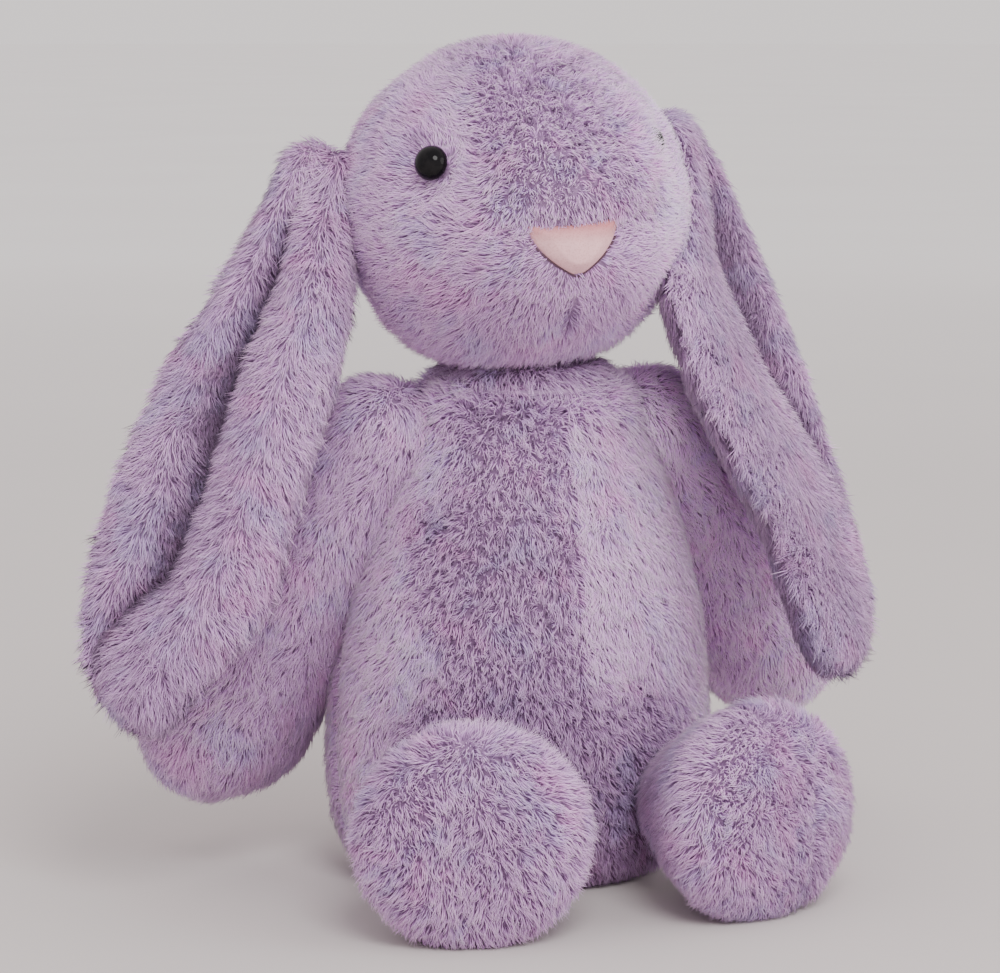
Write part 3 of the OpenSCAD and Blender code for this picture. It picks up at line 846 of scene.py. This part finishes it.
class Ear:
    """The ear's own axes, read from its CAD solids, and its folded surface."""

    def __init__(self, side):
        self.side = side
        self.root = np.array(JOINTS["ear_lift_" + side]["pos_m"])
        reach = cad_points("ear_back_" + side, "ear_lining_" + side) - self.root
        distance = np.linalg.norm(reach, axis=1)
        self.down = unit(reach[distance > 0.9 * distance.max()].mean(axis=0))
        along = reach @ self.down
        flat = reach - along[:, None] * self.down
        across = np.linalg.svd(flat - flat.mean(axis=0), full_matrices=False)[2][0]
        self.inwards = unit(across * -math.copysign(1, across[0] * SIDES[side]))
        self.open = unit(np.cross(self.inwards, self.down))
        if self.open[1] > 0:
            self.open = -self.open
        self.length = along.max()
        self.half = np.abs(flat @ self.inwards).max()

    def valley(self, share):
        """Where the fold lies across the ear: the inner lobe swings over the outer one near the tip."""
        return np.interp(share, FOLD_SHARES[self.side], FOLD_PLACES[self.side])

    def lobes(self, across, share):
        """The place across a lobe, from 0 at the fold to 1 at its edge, and 1 on the inner lobe, else -1."""
        fold = self.valley(share)
        inner = across >= fold
        t = np.where(inner, (across - fold) / (1 - fold), (fold - across) / (1 + fold))
        return np.clip(t, 0, 1), np.where(inner, 1.0, -1.0)

    def thickness(self, turn, share, width):
        """How far the skin stands off the ear's middle sheet: two lobes in front and a plain back."""
        t, lobe_side = self.lobes(np.array(math.cos(turn)), np.array(share))
        lobe = math.sin(math.pi * min(1.0, float(t) * 0.98 + 0.02)) ** (0.42 if lobe_side > 0 else 0.9)
        inner_relief, outer_relief = LOBE_RELIEF[self.side]
        room = 1 - abs(float(self.valley(share)))
        relief = inner_relief if lobe_side > 0 else outer_relief * min(1.0, room * 1.3)
        opened = (-4.0 + relief * lobe) if math.sin(turn) > 0 else (6.0 + 1.5 * lobe)
        blend = min(1.0, share / EAR_OPENS)
        return (EAR_ROOT_THICK * (1 - blend) + opened * blend) * MM * min(1, 0.35 + 1.2 * width)

    def point(self, turn, share):
        """A point of the skin: turn 0 is the inner edge, 90 degrees the lining and 270 the back."""
        width = np.interp(share, EAR_SHARES, EAR_WIDTHS)
        across, front = math.cos(turn), math.sin(turn)
        blend = min(1.0, share / EAR_OPENS)
        bend = 8 * MM * blend * across**2 * width
        stand_off = self.thickness(turn, share, width) * math.copysign(abs(front) ** 0.5, front)
        full = smooth(share, 0.06, 0.3) * (1 - smooth(share, 0.42, 0.8))
        sway = 3 * MM * math.sin(share * 7.0 + 0.5) * blend
        sway += INNER_BULGE[self.side] * full * (0.5 + 0.5 * across)
        width *= 1 - TIP_TRIM[self.side] * smooth(share, 0.7, 1.0) * (across > 0)
        return (
            self.root
            + self.down * self.length * share
            + self.inwards * (self.half * width * across + sway)
            + self.open * (bend + stand_off)
        )


def ear_mesh(ear):
    """The folded skin as a closed grid with round ends, and (across, share, front) at its corners."""
    turns = np.radians(np.arange(0, 360, 4.5))
    shares = [*np.linspace(0, 0.9, 50), 0.92, 0.938, 0.955, 0.97, 0.982, 0.99]
    rings = [np.array([ear.point(turn, share) for turn in turns]) for share in shares]

    def drawn_in(ring, keep, move):
        middle = ring.mean(axis=0)
        return middle + (ring - middle) * keep + move

    top = []
    for angle in np.radians([80, 60, 40, 20]):
        lift = EAR_ROOT_THICK * MM * math.sin(angle)
        top.append(drawn_in(rings[0], math.cos(angle), -ear.down * lift))
    steps = ((0.75, 0.35), (0.4, 0.75), (0.12, 1.0))
    tip = [drawn_in(rings[-1], keep, ear.down * 5 * MM * reach) for keep, reach in steps]
    points = np.concatenate(top + rings + tip)
    cols = len(turns)
    faces = [
        (r + c, r + (c + 1) % cols, r + cols + (c + 1) % cols, r + cols + c)
        for r in range(0, len(points) - cols, cols)
        for c in range(cols)
    ]
    faces += [tuple(range(cols - 1, -1, -1)), tuple(range(len(points) - cols, len(points)))]
    mesh = bpy.data.meshes.new("ear_skin_" + ear.side)
    mesh.from_pydata([tuple(point) for point in points], [], faces)
    bm = bmesh.new()
    bm.from_mesh(mesh)
    bmesh.ops.recalc_face_normals(bm, faces=bm.faces)
    bm.to_mesh(mesh)
    bm.free()
    levels = [0.0] * len(top) + shares + [1.0] * len(tip)
    return mesh, np.array([(math.cos(t), share, math.sin(t)) for share in levels for t in turns])


def ear_comb(ear):
    """The pile runs down the ear and away from the spine of each lobe into the fold and over the edge."""

    def comb(nap):
        across, share, front = nap.grid.T
        t, lobe = ear.lobes(across, share)
        side = np.clip((t - 0.45) * 3.0, -1, 1) * lobe
        side = np.where(front > 0, side, across * 0.7)
        nap.lay = ear.down + ear.inwards * side[:, None]
        nap.rise = np.full(len(t), 36.0)
        reach = np.where(lobe > 0, 0.16, 0.55)
        fold = (1 - smooth(t / reach, 0.1, 1.0)) * (front > 0) * smooth(share, 0.02, 0.12)
        fold *= smooth(1 - np.abs(ear.valley(share)), 0.02, 0.3)
        nap.rise += 6 * fold
        nap.length = 0.95 - 0.4 * fold
        spine = (1 - smooth(np.abs(t - 0.45), 0.0, 0.3)) * (front > 0)
        # Painted shade in the fold and towards the tip; the pile is also a little darker along each lobe's
        # spine.
        nap.light = 0.02 - 1.5 * fold - 0.1 * spine - 0.2 * smooth(share, 0.4, 0.9)
        nap.shade_speckle = np.full(len(t), 0.7)
        nap.lay += ear.down * (smooth(share, 0.85, 1.0) * 0.6)[:, None]

    return comb


def build_ear(side, seed):
    """The ear is one skin, folded lengthwise."""
    ear = Ear(side)
    mesh, grid = ear_mesh(ear)
    skin = new_object("ear_skin_" + side, mesh)
    inflate(skin, 1.5 * MM, 0.0)
    dress_skin(skin, "ear_" + side, [f"ear_{part}_{side}" for part in ("back", "lining", "wadding")])
    grow_pile(skin, "ear_pile_" + side, ear_comb(ear), seed, grid=grid)


# ---------- Arms and legs ----------


def limb_axis(joint, nodes):
    """Where a limb hangs, and the way it points."""
    root = np.array(JOINTS[joint]["pos_m"])
    points = cad_points(*nodes)
    middle = (points.min(axis=0) + points.max(axis=0)) / 2
    return root, unit(middle - root)


def arm_comb(root, along, side):
    """The pile runs down the arm and closes round the paw; painted light makes the left arm paler, and each
    arm lighter on its outer side.
    """

    def comb(nap):
        reach = nap.place - root
        share = reach @ along
        outward = unit(reach - share[:, None] * along)
        nap.lay = np.tile(along + np.array([0.0, 0.0, -0.3]), (len(share), 1))
        nap.rise = np.full(len(share), 38.0)
        nap.length = np.full(len(share), 0.95)
        # Painted light: more on the left arm, and on each arm's outer side.
        nap.light = 0.12 * outward[:, 0] * SIDES[side] + (0.85 if side == "left" else 0.2)
        nap.lay += unit(reach) * smooth(share, 0.13, 0.18)[:, None] * 0.8

    return comb


def build_arm(side, seed):
    """The arm is fuller than its CAD hull at the shoulder and at the paw."""
    nodes = [f"arm_front_{side}", f"arm_back_{side}"]
    root, along = limb_axis("arm_swing_" + side, nodes)
    shoulder = root + np.array([-SIDES[side] * 9 * MM, 0.0, 5 * MM])
    paw = root + along * PAW_REACH + np.array([-SIDES[side] * PAW_INWARDS[side], 0.0, 0.0])
    inner = shoulder - np.array([SIDES[side] * 14 * MM, 0.0, 2 * MM])
    balls = ((shoulder, SHOULDER_RADIUS), (inner, SHOULDER_RADIUS * 0.85), (paw, PAW_RADIUS))
    bulk = np.concatenate([ball_points(centre, radius) for centre, radius in balls])
    skin = hull_skin("arm_skin_" + side, nodes, 4 * MM, bulk)
    inflate(skin, 4 * MM, 2 * MM)
    dress_skin(skin, "arm_" + side, nodes + [f"arm_stuffing_{side}"])
    grow_pile(skin, "arm_pile_" + side, arm_comb(root, along, side), seed)


def leg_comb(root, along, side):
    """The pile stands up on the sole and runs back over the foot; one sole has a forked parting."""
    level = unit(np.cross(along, [0.0, 0.0, 1.0]))
    upward = unit(np.cross(level, along))

    def comb(nap):
        reach = nap.place - root
        share = reach @ along
        outward = reach - share[:, None] * along
        radius = np.linalg.norm(outward, axis=1)
        outward = unit(outward)
        facing = nap.normal @ along
        sole = smooth(facing, 0.3, 0.85)
        rim = smooth(radius, 0.018, 0.05)
        nap.lay = outward * (0.75 * rim * sole + 0.2 * (1 - sole))[:, None]
        nap.lay -= along * (0.75 * (1 - sole))[:, None]
        nap.lay += wave_vectors(nap.place, 34 * MM, 161) * (0.22 * sole)[:, None]
        nap.lay += np.array([0.0, 0.0, -0.6])
        nap.rise = 46 + 22 * sole
        nap.length = 0.95 - 0.12 * sole
        # Painted light, a little more on the sole, and painted shade specks where the sole's pile stands up.
        nap.light = 0.06 + 0.04 * sole
        nap.shade_speckle = 0.4 + 0.2 * sole
        if side == "left":
            height = outward @ upward * radius
            sideways = outward @ level * radius
            fork = np.abs(sideways) - np.maximum(0, height - 0.008) * 0.5
            # Painted shade in the forked parting.
            nap.part(fork, level * np.sign(sideways + 1e-9)[:, None], 5 * MM, 0.3, 0.8)

    return comb


def build_leg(side, seed):
    nodes = [f"leg_top_{side}", f"leg_bottom_{side}", f"sole_{side}"]
    root, along = limb_axis("leg_swing_" + side, nodes)
    skin = hull_skin("leg_skin_" + side, nodes, 4.5 * MM)
    inflate(skin, 6 * MM, 3 * MM, 3 * MM)
    dress_skin(skin, "leg_" + side, nodes + [f"leg_stuffing_{side}"])
    grow_pile(skin, "leg_pile_" + side, leg_comb(root, along, side), seed)


# ---------- Eyes, nose and stitching ----------


def lathe(name, profile, centre, axis, steps=64):
    """A turned solid: profile is (radius, height) from the rim to the pole."""
    axis = Vector(axis)
    turn = axis.to_track_quat("Z", "Y").to_matrix().to_4x4()
    bm = bmesh.new()
    rings = []
    for radius, height in profile[:-1]:
        angles = [2 * math.pi * k / steps for k in range(steps)]
        rings.append([bm.verts.new((radius * math.cos(a), radius * math.sin(a), height)) for a in angles])
    pole = bm.verts.new((0, 0, profile[-1][1]))
    for low, high in zip(rings, rings[1:]):
        for k in range(steps):
            bm.faces.new((low[k], low[(k + 1) % steps], high[(k + 1) % steps], high[k]))
    for k in range(steps):
        bm.faces.new((rings[-1][k], rings[-1][(k + 1) % steps], pole))
    bm.faces.new(list(reversed(rings[0])))
    round_shading(bm)
    mesh = finished_mesh(name, bm)
    mesh.transform(turn)
    mesh.transform(Matrix.Translation(Vector(centre)))
    return new_object(name, mesh)


def eye_material():
    material, tree, shader = principled("eye_gloss", Roughness=0.05, Specular_IOR_Level=0.14)
    depth = texture(tree, "ShaderNodeTexNoise", "Fac", Scale=300.0)
    colour = ramped(tree, depth, [(0.4, (0.003, 0.003, 0.004)), (0.7, (0.009, 0.008, 0.009))])
    tree.links.new(colour, shader.inputs["Base Color"])
    return material


def build_eyes():
    material = eye_material()
    for side, (centre, face) in EYES.items():
        arc = [math.radians(a) for a in (0, 8, 18, 30, 42, 54, 66, 78, 90)]
        profile = [(EYE_RADIUS * 0.9, -2 * MM)]
        profile += [(EYE_RADIUS * math.cos(a), EYE_RADIUS * 0.86 * math.sin(a)) for a in arc]
        eye = lathe(f"eye_bead_{side}", profile, centre - face * EYE_SUNK[side], face)
        eye.data.materials.append(material)
        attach(eye, "head")
        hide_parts(f"eye_{side}")


def velour_material():
    """Short velour with the fine dimples of its knit, darker in them as painted shade, and a painted shadow,
    redder and darker, under the pile's fringe.
    """
    material, tree, shader = principled(
        "nose_velour", Roughness=0.9, Specular_IOR_Level=0.12, Sheen_Weight=0.25, Sheen_Roughness=0.4
    )
    shader.inputs["Sheen Tint"].default_value = (1.0, 0.84, 0.86, 1)
    link = tree.links.new
    knit = texture(tree, "ShaderNodeTexVoronoi", "Distance", Scale=1100.0)
    # Pink velour, darker in the knit's dimples as painted shade.
    dimple_shaded_pink = ramped(tree, knit, [(0.0, (0.74, 0.39, 0.42)), (0.55, (0.88, 0.52, 0.55))])
    cloud = texture(tree, "ShaderNodeTexNoise", "Fac", Scale=160.0, Detail=3.0)
    wear = ramped(tree, cloud, [(0.35, (0.93, 0.93, 0.94)), (0.65, (1.0, 1.0, 1.0))])
    place = tree.nodes.new("ShaderNodeTexCoord")
    split = tree.nodes.new("ShaderNodeSeparateXYZ")
    link(place.outputs["Object"], split.inputs["Vector"])
    # Painted shadow, redder and darker, towards the nose's top edge under the pile's fringe.
    top = NOSE_TOP[2]
    height = add_node(tree, "ShaderNodeMapRange", From_Min=top - 8 * MM, From_Max=top - 1 * MM)
    link(split.outputs["Z"], height.inputs["Value"])
    under = ramped(tree, height.outputs["Result"], [(0.0, (1.0, 1.0, 1.0)), (1.0, (0.72, 0.48, 0.5))])
    link(multiplied(tree, multiplied(tree, dimple_shaded_pink, wear), under), shader.inputs["Base Color"])
    bump = add_node(tree, "ShaderNodeBump", Strength=0.35, Distance=0.2 * MM)
    link(knit, bump.inputs["Height"])
    link(bump.outputs["Normal"], shader.inputs["Normal"])
    return material


def build_thread(name, path, radius, body):
    """A thread of round section along a path of points."""
    curve = bpy.data.curves.new(name, "CURVE")
    curve.dimensions = "3D"
    spline = curve.splines.new("POLY")
    spline.points.add(len(path) - 1)
    for point, place in zip(spline.points, path):
        point.co = (*place, 1)
    curve.bevel_depth = radius
    curve.bevel_resolution = 3
    curve.use_fill_caps = True
    thread = new_object(name, curve)
    curve.materials.append(SEAM_THREAD)
    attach(thread, body)


def dress_stitches():
    """The stitching nodes of the CAD keep their shape and get the thread's material."""
    for node in ("mouth_stitch", "neck_closing_thread"):
        mesh = frame["nodes"][node].data
        mesh.materials.clear()
        mesh.materials.append(FACE_THREAD)


def lay_on_head(surface, down, share, height):
    """A point this high over the head, at a share down the nose and a share across it."""
    half = NOSE_WIDTH / 2 * float(nose_half(down))
    flat = NOSE_TOP + NOSE_ACROSS * half * share + NOSE_DOWN * NOSE_HEIGHT * down
    hit, _, _, _ = surface.ray_cast(Vector(flat + NOSE_AHEAD * 0.05), Vector(-NOSE_AHEAD), 0.12)
    return (np.array(hit) if hit is not None else flat) + NOSE_AHEAD * height


def nose_mesh(surface, rows=30, cols=37):
    """A rounded triangle laid on the head, swelling from its edges to its middle."""
    bm = bmesh.new()
    grid = []
    for down in np.linspace(0, 1, rows):
        row = []
        for share in np.linspace(-1, 1, cols):
            edge = min(1 - abs(share), down * 2.6 + 0.02, (1 - down) * 2.2)
            swell = math.sqrt(min(1.0, edge * max(float(nose_half(down)), 0.05) * 2.6))
            row.append(bm.verts.new(lay_on_head(surface, down, share, NOSE_PUFF * swell - 1.2 * MM)))
        grid.append(row)
    for low, high in zip(grid, grid[1:]):
        for c in range(cols - 1):
            bm.faces.new((low[c], low[c + 1], high[c + 1], high[c]))
    bmesh.ops.remove_doubles(bm, verts=bm.verts, dist=0.05 * MM)
    round_shading(bm)
    return finished_mesh("nose", bm)


def build_nose(head):
    """The padded velour nose on the end of the snout, with the seam round its lower sides."""
    points, _, triangles = mesh_arrays(head)
    surface = BVHTree.FromPolygons([Vector(p) for p in points], [tuple(t) for t in triangles])
    nose = new_object("nose", nose_mesh(surface))
    solid = nose.modifiers.new("cloth", "SOLIDIFY")
    solid.thickness = 1.0 * MM
    solid.offset = -1
    finer = nose.modifiers.new("finer", "SUBSURF")
    finer.levels = finer.render_levels = 1
    apply_modifiers(nose)
    nose.data.materials.append(velour_material())
    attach(nose, "head")
    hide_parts("nose_patch")
    right_side = [(0.25 + 0.75 * k / 20, -1.01) for k in range(20)]
    left_side = [(1 - 0.75 * k / 20, 1.01) for k in range(21)]
    path = [lay_on_head(surface, down, share, 0.3 * MM) for down, share in right_side + left_side]
    build_thread("nose_seam", path, NOSE_SEAM_RADIUS, "head")


def build_rabbit():
    """All pieces; each pile has a seed of its own."""
    build_torso()
    build_tail()
    head = build_head()
    build_neck()
    for number, side in enumerate(SIDES):
        build_ear(side, 301 + number)
        build_arm(side, 401 + number)
        build_leg(side, 501 + number)
    build_eyes()
    build_nose(head)
    dress_stitches()


# ---------- Stage ----------


def stage_material():
    """Pale matt floor with soft clouds, a little lighter far away."""
    material, tree, shader = principled("pale_stage", Roughness=0.9, Specular_IOR_Level=0.1)
    link = tree.links.new
    cloud = texture(tree, "ShaderNodeTexNoise", "Fac", Scale=1.5, Detail=2.0)
    clouds = ramped(tree, cloud, [(0.3, (0.97, 0.97, 0.97)), (0.7, (1.0, 1.0, 1.0))])
    place = tree.nodes.new("ShaderNodeTexCoord")
    distance = tree.nodes.new("ShaderNodeVectorMath")
    distance.operation = "LENGTH"
    link(place.outputs["Object"], distance.inputs[0])
    far = add_node(tree, "ShaderNodeMapRange", From_Min=0.2, From_Max=4.0)
    link(distance.outputs["Value"], far.inputs["Value"])
    fade = ramped(tree, far.outputs["Result"], [(0.0, (0.66, 0.62, 0.61)), (1.0, (0.985, 0.98, 0.98))])
    link(multiplied(tree, clouds, fade), shader.inputs["Base Color"])
    return material


def build_stage():
    """A wide pale floor."""
    bm = bmesh.new()
    bmesh.ops.create_circle(bm, cap_ends=True, segments=96, radius=FLOOR_RADIUS)
    floor = new_object("stage", finished_mesh("stage", bm))
    floor.data.materials.append(stage_material())


def add_area_light(name, place, aim, size, power, colour):
    light = bpy.data.lights.new(name, "AREA")
    light.shape = "DISK"
    light.size = size
    light.energy = power
    light.color = colour
    obj = bpy.data.objects.new(name, light)
    bpy.context.scene.collection.objects.link(obj)
    obj.location = place
    obj.rotation_euler = (Vector(aim) - Vector(place)).to_track_quat("-Z", "Y").to_euler()


def build_lights():
    world = bpy.data.worlds.new("world")
    bpy.context.scene.world = world
    world.use_nodes = True
    background = world.node_tree.nodes["Background"]
    background.inputs["Color"].default_value = (1.0, 0.93, 0.925, 1)
    background.inputs["Strength"].default_value = 1.1
    middle = (0, 0, 0.18)
    add_area_light("key", (-0.2, -1.5, 1.5), middle, 0.9, 25, (1.0, 0.98, 0.97))
    add_area_light("fill", (1.3, -1.2, 0.8), middle, 1.2, 9, (1.0, 0.98, 0.98))


def build_camera():
    """The camera stands where the rabbit is seen a little from its right and from above."""
    azimuth, elevation, distance = math.radians(-20), math.radians(8), 1.5
    view = Vector((math.sin(azimuth), -math.cos(azimuth), math.tan(elevation))).normalized()
    across = Vector((math.cos(azimuth), math.sin(azimuth), 0))
    target = Vector((0, 0, 0.174)) - across * 0.01067
    camera = bpy.data.cameras.new("camera")
    camera.lens = 121.5
    camera.sensor_width = 36
    obj = bpy.data.objects.new("camera", camera)
    bpy.context.scene.collection.objects.link(obj)
    obj.location = target + view * distance
    obj.rotation_euler = (-view).to_track_quat("-Z", "Y").to_euler()
    bpy.context.scene.camera = obj


build_rabbit()
build_stage()
build_lights()
build_camera()
